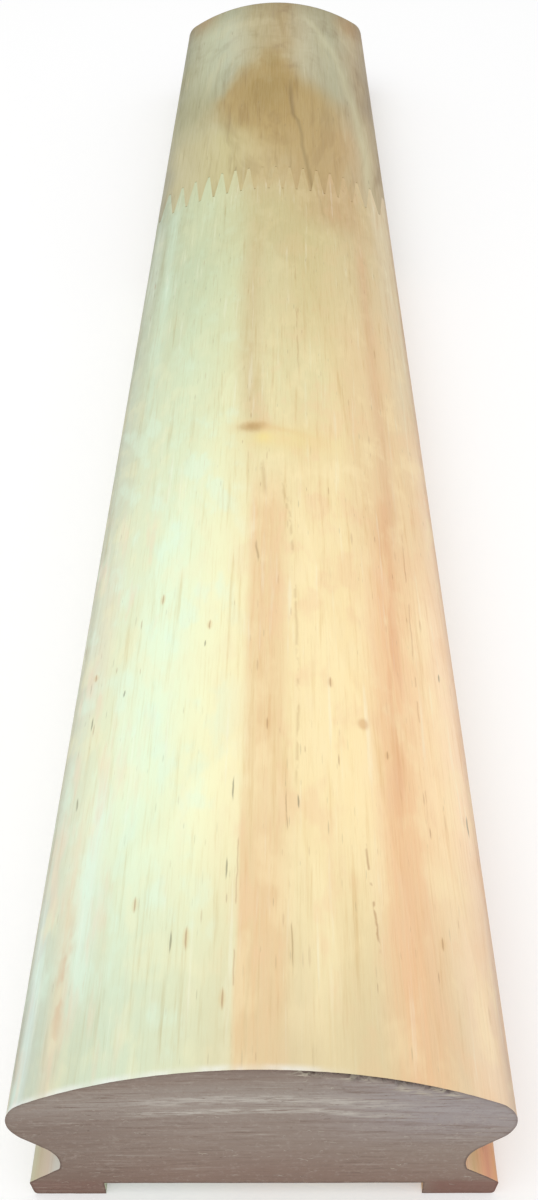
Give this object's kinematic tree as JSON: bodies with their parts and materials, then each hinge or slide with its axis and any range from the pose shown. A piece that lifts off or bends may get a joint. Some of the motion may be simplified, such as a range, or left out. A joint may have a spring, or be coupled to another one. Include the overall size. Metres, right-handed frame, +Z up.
{
  "type": "moulded wooden handrail, finger-jointed pine",
  "caption": "Moulded pine handrail with a crowned top, rounded sides, finger coves, splayed feet and a shallow baluster groove under it, glued up from timbers with a finger joint.",
  "frame": {"origin": "under the middle of the rail, at the level of the undersides of its feet", "axes": "+X across the rail to its right side, +Y along the rail from its near end to its far end, +Z up through the crown"},
  "size_m": [0.065, 0.43, 0.032],
  "materials": {
    "pale_pine": "planed, raw",
    "dark_pine": "planed, raw"
  },
  "bodies": {
    "root": {"near_length": "pale_pine", "far_length": "dark_pine"}
  },
  "joints": []
}
